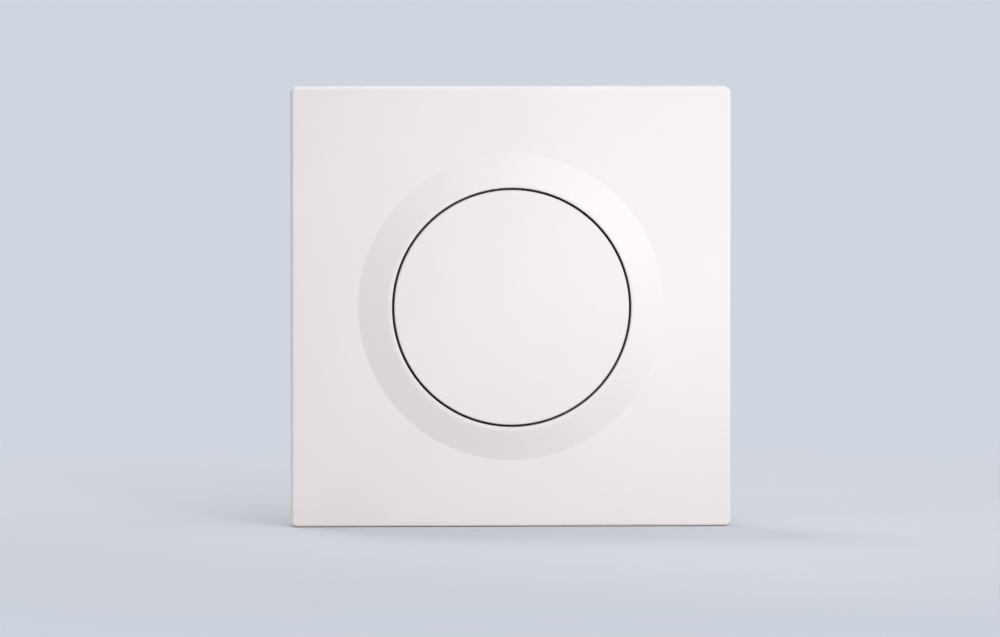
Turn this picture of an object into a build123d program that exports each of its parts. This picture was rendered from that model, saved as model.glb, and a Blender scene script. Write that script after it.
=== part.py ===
from build123d import *

import os
from math import cos, radians, sin

# Smart wall switch with one round push button.
# The wall is the plane y = 0 and the front looks towards -Y, with Z up.
# Heights below are measured out of the wall. A negative height lies behind its surface.

# Cover
plate_side = 86.0            # square face, the standard wall plate
plate_depth = 9.0            # face of the plate above the wall
plate_wall = 2.0             # side walls
plate_face = 2.2             # front wall
plate_corner = 1.1           # corner radius seen from the front
plate_edge = 0.5             # rounding of the front edge
pry_width = 8.5              # notch for a screwdriver in the lower wall
pry_height = 1.8
pry_spacing = 40.0

# Collar round the button
collar_base = 60.0           # diameter where the cone meets the plate
collar_rise = 2.0            # rim above the plate
collar_rim = 0.7             # flat ring at the top of the cone
collar_lip = 2.4             # depth of the bore
rim_edge = 0.15              # break of the rim's two edges

# Button
button_diameter = 45.9
button_gap = 0.5             # dark ring between button and collar
button_travel = 1.2
button_edge = 0.2
cap_face = 1.6
cap_skirt = 1.4
cap_fit = 0.15
cap_nub = 0.35               # snap nubs inside the skirt
cap_nub_width = 4.0
cap_nub_height = 0.4
flange_overlap = 1.95        # how far the carrier reaches under the lip
flange_thick = 1.4
flange_play = 0.4
crown_thick = 1.2
crown_wall = 1.5
leg_width = 5.0
leg_thick = 2.0
leg_inset = 0.9              # outer face of a leg behind the flange's edge
leg_play = 0.2
leg_count = 4
guide_wall = 1.2
guide_depth = 3.2
foot_play = 0.4              # left under a leg when the button is down

# Return spring
spring_wire = 0.7
spring_diameter = 12.6       # outer
spring_turns = 3.5
spring_steps = 20            # straight steps in one turn
spring_facets = 8            # sides of the wire
spring_seat = 0.4            # depth of its pocket in the carrier
spring_play = 0.3
seat_ring_height = 0.9
seat_ring_wall = 1.0

# Snap hooks between cover and frame
hook_width = 8.0
hook_reach = 0.9
hook_foot = 1.9              # height where the ramp starts
hook_ramp = 1.2
hook_land = 0.4
hook_spacing = 40.0
window_play = 0.35

# Frame
frame_play = 0.4             # between frame and cover
frame_base = 2.4
frame_rim = 1.6
frame_rib = 1.2
frame_rib_height = 2.2
frame_rib_spacing = 27.0
frame_boss = 3.2             # screw bosses above the plate
rim_play = 0.3               # between rim and front wall
pocket_depth = 0.9           # cored-out pockets in the rear face
pocket_rib = 1.6             # ribs left between them
pocket_count = 4             # along the upper and lower edge
rebate_depth = 1.0           # seat of the housing in the frame
rebate_play = 0.3
box_spacing = 60.3           # screw spacing of the standard wall box
box_slot_width = 4.4
box_slot_length = 6.4
box_pad = 0.8                # raised land round a slot
box_pad_rim = 1.9

# Housing behind the wall
housing_width = 50.0
housing_height = 54.0
housing_depth = 26.0
housing_wall = 1.8
housing_corner = 5.0
housing_draft = 1.0
housing_edge = 1.2
post_inset = 5.4             # post axis from the outside of the mouth
post_diameter = 6.4
post_tip = 4.3
post_play = 0.2
well_diameter = 5.2
well_depth = 10.0
vent_width = 1.6
vent_length = 11.0
vent_pitch = 4.0
vent_count = 5

# Fasteners
housing_screw = 2.6
housing_screw_head = 4.8
housing_screw_head_height = 1.8
housing_screw_grip = 3.6     # length in the frame
board_screw = 1.8
board_screw_head = 3.4
board_screw_head_height = 1.2
board_screw_grip = 1.6
screw_play = 0.05
slot_share = 0.2             # width of a drive slot as a share of the head
drive_share = 0.45           # its depth as a share of the head

# Control board
control_side_play = 1.2      # from the housing's walls
control_end_play = 0.4       # from the screw sleeves
control_thick = 1.2
control_boss = 0.8
control_boss_diameter = 4.4
control_screw_inset = 2.6
switch_side = 6.0
switch_height = 3.5
switch_play = 0.5            # round the switch in the frame
switch_lid = 0.6
plunger_diameter = 3.4
plunger_collar = 4.4
plunger_collar_thick = 0.6
plunger_play = 0.1
radio_width = 18.0
radio_height = 14.0
radio_thick = 0.8
radio_margin = 2.0           # from the board's upper edge
shield_width = 14.0
shield_height = 10.0
shield_thick = 1.8
shield_sheet = 0.25
pin_pitch = 2.54
pin_columns = 4
pin_rows = 2
pin_side = 0.64
pin_play = 0.06
pin_proud = 0.8
header_height = 2.5
header_margin = 4.4          # from the board's lower edge
socket_floor = 0.5

# Power board
power_thick = 1.6
power_play = 0.9             # from the housing's inner wall
part_margin = 2.0            # first component from the board's edge
part_gap = 1.3               # between components
relay_width = 20.5
relay_height = 10.5
relay_tall = 15.4
relay_clear = 0.7            # to the housing's rear wall
relay_edge = 0.7
core_width = 13.0
core_tall = 11.0
core_thick = 5.0
core_leg = 1.8
core_centre = 3.4
bobbin_play = 0.15
bobbin_reach = 3.0
bobbin_foot = 1.6
capacitor_diameter = 8.0
capacitor_tall = 12.0
capacitor_crimp = 0.5
film_width = 13.0
film_height = 5.5
film_tall = 11.0
film_edge = 0.8
varistor_diameter = 9.0
varistor_thick = 4.0
varistor_lift = 1.5
lead_diameter = 0.7
bridge_width = 8.2
bridge_height = 6.4
bridge_tall = 3.3
bridge_notch = 1.0
choke_diameter = 6.0
choke_tall = 8.0
choke_waist = 0.6
choke_flange = 1.2
fuse_diameter = 6.0
fuse_tall = 7.0

# Terminals
pole_pitch = 7.62
pole_count = 3
block_side = 0.8             # end walls
block_height = 11.0
block_recess = 0.4           # behind the housing's rear face
block_inset = 0.6            # behind the housing's lower face
block_play = 0.25
block_front = 1.2            # wall with the wire ports
block_back = 0.8
chamber_width = 6.0
clamp_well = 5.0
clamp_well_depth = 3.8
clamp_shelf = 1.4
clamp_screw = 2.9
clamp_hole = 3.2
clamp_head = 4.6
clamp_head_height = 1.8
clamp_travel = 2.5
clamp_play = 0.1
cage_width = 5.4
cage_tall = 7.4
cage_length = 6.7
cage_wall = 0.9
bar_width = 3.2
bar_thick = 1.0
bar_gap = 0.3
port_width = 3.8
port_height = 3.9
port_flare = 0.4
tail_proud = 0.8
tail_play = 0.15

# Heights and radii that follow from the sizes above
rim_height = plate_depth + collar_rise
lip_under = rim_height - collar_lip
button_radius = button_diameter / 2
bore_radius = button_radius + button_gap
rim_radius = bore_radius + collar_rim
flange_radius = bore_radius + flange_overlap
flange_under = lip_under - flange_thick
cap_under = rim_height - cap_face
crown_radius = button_radius - cap_skirt - cap_fit
crown_under = cap_under - crown_thick
leg_circle = flange_radius - leg_inset - leg_thick / 2
leg_foot = frame_base + button_travel + foot_play
guide_top = flange_under - button_travel - window_play
crown_inner = crown_radius - crown_wall
spring_top = crown_under + spring_seat
inner_side = plate_side - 2 * plate_wall
frame_side = inner_side - 2 * frame_play
rim_top = plate_depth - plate_face - rim_play
hook_top = hook_foot + hook_ramp + hook_land
deck_under = rebate_depth
control_top = deck_under - control_boss
control_under = control_top - control_thick
plunger_top = crown_under
housing_inside = housing_wall - housing_depth
power_under = housing_inside + relay_tall + relay_clear
power_top = power_under + power_thick
post_x = housing_width / 2 - post_inset
post_z = housing_height / 2 - post_inset
control_width = housing_width - 2 * (housing_wall + control_side_play)
control_height = 2 * post_z - post_diameter - 2 * control_end_play
radio_offset = (control_height - radio_height) / 2 - radio_margin
header_offset = header_margin + (pin_rows * pin_pitch - control_height) / 2
power_width = housing_width - 2 * (housing_wall + power_play)
power_height = housing_height - 2 * (housing_wall + power_play)
well_floor = well_depth - housing_depth
sleeve_bore = post_tip + 2 * post_play
block_width = pole_count * pole_pitch + 2 * block_side
block_low = block_inset - housing_height / 2
block_high = block_low + block_height
block_rear = block_recess - housing_depth
shelf_rear = block_rear + clamp_well_depth
shelf_front = shelf_rear + clamp_shelf
chamber_low = block_low + block_front
chamber_high = block_high - block_back
cage_rear = shelf_front + clamp_play + clamp_travel
cage_front = cage_rear + cage_tall
cage_low = chamber_low + bar_gap
cage_high = cage_low + cage_length
bar_rear = cage_rear + cage_wall + bar_gap
bar_front = bar_rear + bar_thick
bar_low = cage_low
bar_high = chamber_high - bar_gap
clamp_axis = cage_low + cage_length / 2
port_middle = bar_front + port_height / 2

# Places on the power board: three rows from the terminals up, each filled from the left.
# The top row starts beside the screw post.
wound_deep = core_thick + 2 * bobbin_reach
row_start = part_margin - power_width / 2
top_start = part_gap + post_diameter / 2 - post_x
row_1 = block_high + part_gap + relay_height / 2
row_2 = row_1 + relay_height / 2 + part_gap + wound_deep / 2
row_3 = row_2 + wound_deep / 2 + part_gap + bridge_height / 2
relay_end = row_start + relay_width
fuse_end = relay_end + part_gap + fuse_diameter
core_end = row_start + core_width
capacitor_step = capacitor_diameter + part_gap
capacitor_1_end = core_end + capacitor_step
capacitor_2_end = capacitor_1_end + capacitor_step
bridge_end = top_start + bridge_width
relay_place = (relay_end - relay_width / 2, row_1)
fuse_place = (fuse_end - fuse_diameter / 2, row_1)
varistor_place = (fuse_end + part_gap + varistor_thick / 2, row_1)
transformer_place = (core_end - core_width / 2, row_2)
capacitor_places = [
    (capacitor_1_end - capacitor_diameter / 2, row_2),
    (capacitor_2_end - capacitor_diameter / 2, row_2),
]
choke_place = (capacitor_2_end + part_gap + choke_diameter / 2, row_2)
bridge_place = (bridge_end - bridge_width / 2, row_3)
film_place = (bridge_end + part_gap + film_width / 2, row_3)

# Plane whose axes are the distance from the button's axis and the height
section = Plane(origin=(0, 0, 0), x_dir=(1, 0, 0), z_dir=(0, 0, -1))


def wall_plane(height):
    """Plane parallel to the wall, seen from the front."""
    return Plane.XZ.offset(height)


def edge_plane(angle, distance, along):
    """Plane on one side wall, with x pointing inwards and y out of the wall."""
    out = Vector(cos(radians(angle)), 0, sin(radians(angle)))
    side = Vector(-sin(radians(angle)), 0, cos(radians(angle)))
    inward = out * -1
    normal = inward.cross(Vector(0, -1, 0))
    return Plane(origin=out * distance + side * along, x_dir=inward, z_dir=normal)


def cross_plane(across):
    """Upright plane at one x, with x pointing up and y out of the wall."""
    return Plane(origin=(across, 0, 0), x_dir=(0, 0, 1), z_dir=(1, 0, 0))


def save(builder, label):
    """Name one finished piece and write its file."""
    builder.part.label = label
    export_step(builder.part, "parts/" + label + ".step")


os.makedirs("parts", exist_ok=True)

sides = [0, 90, 180, 270]
control_x = control_width / 2 - control_screw_inset
control_z = control_height / 2 - control_screw_inset
post_spots = [(across * post_x, up * post_z) for up in (-1, 1) for across in (-1, 1)]
control_spots = [(across * control_x, up * control_z) for up in (-1, 1) for across in (-1, 1)]
pole_spots = [(number - (pole_count - 1) / 2) * pole_pitch for number in range(pole_count)]

# Front cover: a rounded plate with the cone, bored for the button and hollowed from behind
with BuildPart() as front_cover:
    with BuildSketch(wall_plane(0)):
        RectangleRounded(plate_side, plate_side, plate_corner)
    extrude(amount=plate_depth)
    fillet(front_cover.faces().sort_by(Axis.Y)[0].edges(), plate_edge)
    with BuildSketch(section):
        with BuildLine():
            Polyline(
                (0, plate_depth - plate_face),
                (collar_base / 2, plate_depth - plate_face),
                (collar_base / 2, plate_depth),
                (rim_radius, rim_height),
                (0, rim_height),
                close=True,
            )
        make_face()
    revolve(axis=Axis.Y)
    with BuildSketch(wall_plane(0)):
        RectangleRounded(inner_side, inner_side, plate_corner / 2)
    extrude(amount=plate_depth - plate_face, mode=Mode.SUBTRACT)
    with BuildSketch(wall_plane(0)):
        Circle(flange_radius + flange_play)
    extrude(amount=lip_under, mode=Mode.SUBTRACT)
    with BuildSketch(wall_plane(0)):
        Circle(bore_radius)
    extrude(amount=rim_height, mode=Mode.SUBTRACT)
    chamfer(front_cover.faces().sort_by(Axis.Y)[0].edges(), rim_edge)
    for side in sides:
        for along in (-hook_spacing / 2, hook_spacing / 2):
            with BuildSketch(edge_plane(side, inner_side / 2, along)):
                with BuildLine():
                    Polyline(
                        (-plate_wall / 2, hook_foot),
                        (0, hook_foot),
                        (hook_reach, hook_foot + hook_ramp),
                        (hook_reach, hook_top),
                        (-plate_wall / 2, hook_top),
                        close=True,
                    )
                make_face()
            extrude(amount=hook_width / 2, both=True)
    with BuildSketch(Plane.XY.offset(-plate_side / 2)):
        with GridLocations(pry_spacing, 0, 2, 1):
            Rectangle(pry_width, 2 * pry_height)
    extrude(amount=plate_wall, mode=Mode.SUBTRACT)
save(front_cover, "front_cover")

# Button cap: a disc with a skirt, held on the carrier by snap nubs
with BuildPart() as button_cap:
    with BuildSketch(section):
        with BuildLine():
            Polyline(
                (0, cap_under),
                (button_radius - cap_skirt, cap_under),
                (button_radius - cap_skirt, lip_under),
                (button_radius, lip_under),
                (button_radius, rim_height),
                (0, rim_height),
                close=True,
            )
        make_face()
    revolve(axis=Axis.Y)
    chamfer(button_cap.faces().sort_by(Axis.Y)[0].edges(), button_edge)
    with BuildSketch(wall_plane(lip_under)):
        with PolarLocations(button_radius - cap_skirt, leg_count):
            Rectangle(2 * cap_nub, cap_nub_width)
    extrude(amount=cap_nub_height)
save(button_cap, "button_cap")

# Button carrier: flange under the lip, crown under the cap, legs in the frame's guides
with BuildPart() as button_carrier:
    with BuildSketch(section):
        with BuildLine():
            Polyline(
                (0, crown_under),
                (crown_inner, crown_under),
                (crown_inner, flange_under),
                (flange_radius, flange_under),
                (flange_radius, lip_under),
                (crown_radius, lip_under),
                (crown_radius, cap_under),
                (0, cap_under),
                close=True,
            )
        make_face()
    revolve(axis=Axis.Y)
    with BuildSketch(wall_plane(leg_foot)):
        with PolarLocations(leg_circle, leg_count):
            Rectangle(leg_thick, leg_width)
    extrude(amount=flange_under - leg_foot)
    with BuildSketch(wall_plane(lip_under)):
        with PolarLocations(button_radius - cap_skirt, leg_count):
            Rectangle(2 * (cap_nub + cap_fit), cap_nub_width + 2 * cap_fit)
    extrude(amount=cap_nub_height + cap_fit, mode=Mode.SUBTRACT)
    with BuildSketch(wall_plane(crown_under)):
        Circle(spring_diameter / 2 + spring_play)
        Circle(spring_diameter / 2 - spring_wire - spring_play, mode=Mode.SUBTRACT)
    extrude(amount=spring_seat, mode=Mode.SUBTRACT)
save(button_carrier, "button_carrier")

# Return spring: one coil round the push switch
coil_radius = (spring_diameter - spring_wire) / 2
coil_start = frame_base + spring_wire / 2
coil_height = spring_top - frame_base - spring_wire
coil_count = round(spring_turns * spring_steps)
coil_points = []
for step in range(coil_count + 1):
    turn = radians(360 * step / spring_steps)
    rise = coil_start + coil_height * step / coil_count
    coil_points.append((coil_radius * cos(turn), -rise, coil_radius * sin(turn)))
with BuildPart() as return_spring:
    with BuildLine() as coil:
        Polyline(*coil_points)
    with BuildSketch(Plane(origin=coil.line @ 0, z_dir=coil.line % 0)):
        RegularPolygon(spring_wire / 2, spring_facets)
    sweep(path=coil.line, transition=Transition.RIGHT)
save(return_spring, "return_spring")

# Mounting frame: plate with a rim for the cover, guides for the button and a seat for the housing
rebate_width = housing_width + 2 * rebate_play
rebate_height = housing_height + 2 * rebate_play
pad_width = box_slot_width + 2 * box_pad_rim
pocket_span = frame_side - 2 * frame_rim
pocket_width = (pocket_span - (pocket_count - 1) * pocket_rib) / pocket_count
band_height = (pocket_span - rebate_height) / 2 - pocket_rib
band_width = (pocket_span - rebate_width) / 2 - pocket_rib
side_height = (rebate_height - pad_width) / 2
band_step = rebate_height + 2 * pocket_rib + band_height
side_step = rebate_width + 2 * pocket_rib + band_width
with BuildPart() as mounting_frame:
    with BuildSketch(wall_plane(0)):
        RectangleRounded(frame_side, frame_side, plate_corner / 2)
    extrude(amount=rim_top)
    with BuildSketch(wall_plane(frame_base)):
        RectangleRounded(frame_side - 2 * frame_rim, frame_side - 2 * frame_rim, plate_corner / 2)
    extrude(amount=rim_top - frame_base, mode=Mode.SUBTRACT)
    rib_start = flange_radius + flange_play + frame_rib
    rib_length = frame_side / 2 - frame_rim / 2 - rib_start
    with BuildSketch(wall_plane(frame_base)):
        with GridLocations(frame_rib_spacing, 2 * rib_start + rib_length, 2, 2):
            Rectangle(frame_rib, rib_length)
        with GridLocations(2 * rib_start + rib_length, frame_rib_spacing, 2, 2):
            Rectangle(rib_length, frame_rib)
    extrude(amount=frame_rib_height)
    with BuildSketch(wall_plane(frame_base)):
        with Locations(*post_spots):
            Circle(post_diameter / 2)
    extrude(amount=frame_boss)
    with BuildSketch(wall_plane(frame_base)):
        with GridLocations(box_spacing, 0, 2, 1):
            SlotOverall(box_slot_length + 2 * box_pad_rim, box_slot_width + 2 * box_pad_rim)
    extrude(amount=box_pad)
    with BuildSketch(wall_plane(frame_base)):
        with PolarLocations(leg_circle, leg_count):
            with GridLocations(0, leg_width + 2 * leg_play + guide_wall, 1, 2):
                Rectangle(guide_depth, guide_wall)
            with Locations((-(leg_thick + guide_wall) / 2 - leg_play, 0)):
                Rectangle(guide_wall, leg_width + 2 * leg_play + 2 * guide_wall)
    extrude(amount=guide_top - frame_base)
    with BuildSketch(wall_plane(frame_base)):
        Circle(spring_diameter / 2 + spring_play + seat_ring_wall)
        Circle(spring_diameter / 2 + spring_play, mode=Mode.SUBTRACT)
    extrude(amount=seat_ring_height)
    with BuildSketch(wall_plane(0)):
        RectangleRounded(rebate_width, rebate_height, housing_corner)
    extrude(amount=rebate_depth, mode=Mode.SUBTRACT)
    with BuildSketch(wall_plane(0)):
        with GridLocations(pocket_width + pocket_rib, band_step, pocket_count, 2):
            Rectangle(pocket_width, band_height)
        with GridLocations(side_step, pad_width + side_height, 2, 2):
            Rectangle(band_width, side_height)
    extrude(amount=pocket_depth, mode=Mode.SUBTRACT)
    with BuildSketch(wall_plane(deck_under)):
        with Locations(*post_spots):
            Circle(post_diameter / 2)
    extrude(amount=power_top - deck_under)
    with BuildSketch(wall_plane(deck_under)):
        with Locations(*control_spots):
            Circle(control_boss_diameter / 2)
    extrude(amount=control_top - deck_under)
    with BuildSketch(wall_plane(power_top)):
        with Locations(*post_spots):
            Circle(sleeve_bore / 2)
    extrude(amount=deck_under - power_top, mode=Mode.SUBTRACT)
    with BuildSketch(wall_plane(deck_under)):
        with Locations(*post_spots):
            Circle(housing_screw / 2 + screw_play)
    extrude(amount=housing_screw_grip - post_play, mode=Mode.SUBTRACT)
    with BuildSketch(wall_plane(control_top)):
        with Locations(*control_spots):
            Circle(board_screw / 2 + screw_play)
    extrude(amount=board_screw_grip + post_play, mode=Mode.SUBTRACT)
    with BuildSketch(wall_plane(deck_under)):
        RectangleRounded(switch_side + 2 * switch_play, switch_side + 2 * switch_play, switch_play)
    extrude(amount=frame_base - deck_under, mode=Mode.SUBTRACT)
    with BuildSketch(wall_plane(0)):
        with GridLocations(box_spacing, 0, 2, 1):
            SlotOverall(box_slot_length, box_slot_width)
    extrude(amount=frame_base + box_pad, mode=Mode.SUBTRACT)
    for side in sides:
        for along in (-hook_spacing / 2, hook_spacing / 2):
            with BuildSketch(edge_plane(side, frame_side / 2, along)):
                with Locations((frame_rim / 2, (hook_foot + hook_top) / 2)):
                    Rectangle(frame_rim, hook_top - hook_foot + 2 * window_play)
            extrude(amount=hook_width / 2 + window_play, both=True, mode=Mode.SUBTRACT)
save(mounting_frame, "mounting_frame")

# Rear housing: drafted tub with screw posts, vents and the bay for the terminals
inside_width = housing_width - 2 * housing_wall
inside_height = housing_height - 2 * housing_wall
with BuildPart() as rear_housing:
    with BuildSketch(wall_plane(rebate_depth)):
        RectangleRounded(housing_width, housing_height, housing_corner)
    extrude(amount=-(rebate_depth + housing_depth), taper=housing_draft)
    chamfer(rear_housing.faces().sort_by(Axis.Y)[-1].edges(), housing_edge)
    with BuildSketch(wall_plane(rebate_depth)):
        RectangleRounded(inside_width, inside_height, housing_corner - housing_wall)
    extrude(amount=housing_inside - rebate_depth, taper=housing_draft, mode=Mode.SUBTRACT)
    with BuildSketch(wall_plane(housing_inside)):
        with Locations(*post_spots):
            Circle(post_diameter / 2)
    extrude(amount=power_under - housing_inside)
    with BuildSketch(wall_plane(power_under)):
        with Locations(*post_spots):
            Circle(post_tip / 2)
    extrude(amount=deck_under - post_play - power_under)
    with BuildSketch(wall_plane(-housing_depth)):
        with Locations(*post_spots):
            Circle(housing_screw / 2 + post_play)
    extrude(amount=housing_depth + deck_under, mode=Mode.SUBTRACT)
    with BuildSketch(wall_plane(-housing_depth)):
        with Locations(*post_spots):
            Circle(well_diameter / 2)
    extrude(amount=well_depth, mode=Mode.SUBTRACT)
    with BuildSketch(Plane.YZ):
        with Locations(((housing_depth - power_under) / 2, 0)):
            with GridLocations(0, vent_pitch, 1, vent_count):
                SlotOverall(vent_length, vent_width)
    extrude(amount=housing_width / 2, both=True, mode=Mode.SUBTRACT)
    with BuildSketch(wall_plane(power_under + block_play)):
        with Locations((0, block_high + block_play)):
            Rectangle(block_width + 2 * block_play, housing_height, align=(Align.CENTER, Align.MAX))
    extrude(amount=-(housing_depth + power_under + block_play), mode=Mode.SUBTRACT)
save(rear_housing, "rear_housing")

# Housing screws in their wells, with cross recesses
housing_drive = (housing_screw_head * (1 - slot_share), housing_screw_head * slot_share)
board_drive = (board_screw_head * (1 - slot_share), board_screw_head * slot_share)
with BuildPart() as housing_screws:
    with BuildSketch(wall_plane(well_floor)):
        with Locations(*post_spots):
            Circle(housing_screw / 2)
    extrude(amount=deck_under + housing_screw_grip - 2 * post_play - well_floor)
    with BuildSketch(wall_plane(well_floor)):
        with Locations(*post_spots):
            Circle(housing_screw_head / 2)
    extrude(amount=-housing_screw_head_height)
    with BuildSketch(wall_plane(well_floor - housing_screw_head_height)):
        with Locations(*post_spots):
            for turn in (0, 90):
                Rectangle(*housing_drive, rotation=turn)
    extrude(amount=housing_screw_head_height * drive_share, mode=Mode.SUBTRACT)
save(housing_screws, "housing_screws")

# Control board with its screws
header_centre = (0, header_offset)
with BuildPart() as control_board:
    with BuildSketch(wall_plane(control_under)):
        RectangleRounded(control_width, control_height, control_screw_inset)
        with Locations(*control_spots):
            Circle(board_screw / 2 + post_play, mode=Mode.SUBTRACT)
        with Locations(header_centre):
            with GridLocations(pin_pitch, pin_pitch, pin_columns, pin_rows):
                Rectangle(pin_side + 2 * pin_play, pin_side + 2 * pin_play, mode=Mode.SUBTRACT)
    extrude(amount=control_thick)
save(control_board, "control_board")

with BuildPart() as board_screws:
    with BuildSketch(wall_plane(control_under)):
        with Locations(*control_spots):
            Circle(board_screw / 2)
    extrude(amount=control_thick + board_screw_grip)
    with BuildSketch(wall_plane(control_under)):
        with Locations(*control_spots):
            Circle(board_screw_head / 2)
    extrude(amount=-board_screw_head_height)
    with BuildSketch(wall_plane(control_under - board_screw_head_height)):
        with Locations(*control_spots):
            for turn in (0, 90):
                Rectangle(*board_drive, rotation=turn)
    extrude(amount=board_screw_head_height * drive_share, mode=Mode.SUBTRACT)
save(board_screws, "board_screws")

# Push switch: a body with a stepped bore and the plunger that it holds by a collar
switch_top = control_top + switch_height
collar_top = switch_top - switch_lid - plunger_play
with BuildPart() as push_switch_body:
    with BuildSketch(wall_plane(control_top)):
        RectangleRounded(switch_side, switch_side, switch_play)
    extrude(amount=switch_height)
    with BuildSketch(wall_plane(collar_top + plunger_play)):
        Circle(plunger_collar / 2 + plunger_play)
    extrude(amount=-(button_travel + plunger_collar_thick + 2 * plunger_play), mode=Mode.SUBTRACT)
    with BuildSketch(wall_plane(collar_top)):
        Circle(plunger_diameter / 2 + plunger_play)
    extrude(amount=switch_top - collar_top, mode=Mode.SUBTRACT)
save(push_switch_body, "push_switch_body")

with BuildPart() as push_switch_plunger:
    with BuildSketch(wall_plane(collar_top - plunger_collar_thick)):
        Circle(plunger_collar / 2)
    extrude(amount=plunger_collar_thick)
    with BuildSketch(wall_plane(collar_top)):
        Circle(plunger_diameter / 2)
    extrude(amount=plunger_top - collar_top)
    chamfer(push_switch_plunger.faces().sort_by(Axis.Y)[0].edges(), plunger_play)
save(push_switch_plunger, "push_switch_plunger")

# Radio on the rear of the control board: its own board under a drawn can
with BuildPart() as radio_board:
    with BuildSketch(wall_plane(control_under)):
        with Locations((0, radio_offset)):
            Rectangle(radio_width, radio_height)
    extrude(amount=-radio_thick)
save(radio_board, "radio_board")

radio_under = control_under - radio_thick
shield_place = (0, radio_offset - (radio_height - shield_height) / 4)
with BuildPart() as radio_shield:
    with BuildSketch(wall_plane(radio_under)):
        with Locations(shield_place):
            Rectangle(shield_width, shield_height)
    extrude(amount=-shield_thick)
    fillet(radio_shield.faces().sort_by(Axis.Y)[-1].edges(), shield_sheet)
    with BuildSketch(wall_plane(radio_under)):
        with Locations(shield_place):
            Rectangle(shield_width - 2 * shield_sheet, shield_height - 2 * shield_sheet)
    extrude(amount=-(shield_thick - shield_sheet), mode=Mode.SUBTRACT)
save(radio_shield, "radio_shield")

# Plug between the boards: base and pins on the control board, socket on the power board
header_under = control_under - header_height
with BuildPart() as header_base:
    with BuildSketch(wall_plane(control_under)):
        with Locations(header_centre):
            Rectangle(pin_columns * pin_pitch, pin_rows * pin_pitch)
            with GridLocations(pin_pitch, pin_pitch, pin_columns, pin_rows):
                Rectangle(pin_side + 2 * pin_play, pin_side + 2 * pin_play, mode=Mode.SUBTRACT)
    extrude(amount=-header_height)
save(header_base, "header_base")

with BuildPart() as header_pins:
    with BuildSketch(wall_plane(power_top + 2 * socket_floor)):
        with Locations(header_centre):
            with GridLocations(pin_pitch, pin_pitch, pin_columns, pin_rows):
                Rectangle(pin_side, pin_side)
    extrude(amount=control_top + pin_proud - power_top - 2 * socket_floor)
save(header_pins, "header_pins")

with BuildPart() as header_socket:
    with BuildSketch(wall_plane(power_top)):
        with Locations(header_centre):
            Rectangle(pin_columns * pin_pitch, pin_rows * pin_pitch)
    extrude(amount=header_under - power_top)
    with BuildSketch(wall_plane(power_top + socket_floor)):
        with Locations(header_centre):
            with GridLocations(pin_pitch, pin_pitch, pin_columns, pin_rows):
                Rectangle(pin_side + 2 * pin_play, pin_side + 2 * pin_play)
    extrude(amount=header_under - power_top - socket_floor, mode=Mode.SUBTRACT)
save(header_socket, "header_socket")

# Power board, held between the posts and the frame's sleeves
tail_middle = bar_high - bar_thick / 2
with BuildPart() as power_board:
    with BuildSketch(wall_plane(power_under)):
        RectangleRounded(power_width, power_height, housing_corner - housing_wall)
        with Locations(*post_spots):
            Circle(sleeve_bore / 2, mode=Mode.SUBTRACT)
        for across in pole_spots:
            with Locations((across, tail_middle)):
                Rectangle(bar_width + 2 * tail_play, bar_thick + 2 * tail_play, mode=Mode.SUBTRACT)
    extrude(amount=power_thick)
save(power_board, "power_board")

with BuildPart() as relay:
    with BuildSketch(wall_plane(power_under)):
        with Locations(relay_place):
            Rectangle(relay_width, relay_height)
    extrude(amount=-relay_tall)
    chamfer(relay.faces().sort_by(Axis.Y)[-1].edges(), relay_edge)
save(relay, "relay")

# Transformer: a core with two windows and the wound bobbin on its middle leg
core_under = power_under - bobbin_foot
core_middle = core_under - core_tall / 2
window_width = (core_width - core_centre) / 2 - core_leg
window_tall = core_tall - 2 * core_leg
window_step = (core_centre + window_width) / 2
core_plane = Plane(
    origin=(transformer_place[0], -core_middle, transformer_place[1]), x_dir=(1, 0, 0), z_dir=(0, 0, 1)
)
with BuildPart() as transformer_core:
    with BuildSketch(core_plane):
        Rectangle(core_width, core_tall)
        with GridLocations(2 * window_step, 0, 2, 1):
            Rectangle(window_width, window_tall, mode=Mode.SUBTRACT)
    extrude(amount=core_thick / 2, both=True)
save(transformer_core, "transformer_core")

wound_width = core_centre + 2 * window_width - 2 * bobbin_play
wound_tall = window_tall - 2 * bobbin_play
with BuildPart() as transformer_bobbin:
    with BuildSketch(core_plane):
        Rectangle(wound_width, wound_tall)
    extrude(amount=wound_deep / 2, both=True)
    fillet(transformer_bobbin.edges().filter_by(Axis.Y), bobbin_reach / 2)
    for end in (-1, 1):
        with BuildSketch(core_plane.offset(end * wound_deep / 2)):
            with Locations((0, 0)):
                Rectangle(wound_width, core_tall / 2 + bobbin_foot, align=(Align.CENTER, Align.MAX))
        extrude(amount=-end * (bobbin_reach - bobbin_play))
    with BuildSketch(core_plane):
        Rectangle(core_centre + 2 * bobbin_play, wound_tall)
    extrude(amount=core_thick / 2 + bobbin_play, both=True, mode=Mode.SUBTRACT)
save(transformer_bobbin, "transformer_bobbin")

for number, place in enumerate(capacitor_places, start=1):
    with BuildPart() as bulk_capacitor:
        with BuildSketch(wall_plane(power_under)):
            with Locations(place):
                Circle(capacitor_diameter / 2)
        extrude(amount=-capacitor_tall)
        chamfer(bulk_capacitor.edges(), capacitor_crimp)
        with BuildSketch(wall_plane(power_under - 3 * capacitor_crimp)):
            with Locations(place):
                Circle(capacitor_diameter / 2)
                Circle(capacitor_diameter / 2 - capacitor_crimp, mode=Mode.SUBTRACT)
        extrude(amount=-capacitor_crimp, mode=Mode.SUBTRACT)
        with BuildSketch(wall_plane(power_under - capacitor_tall)):
            with Locations(place):
                for turn in (0, 90):
                    Rectangle(capacitor_diameter / 2, capacitor_crimp / 2, rotation=turn)
        extrude(amount=capacitor_crimp / 2, mode=Mode.SUBTRACT)
    save(bulk_capacitor, "bulk_capacitor_" + str(number))

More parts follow.
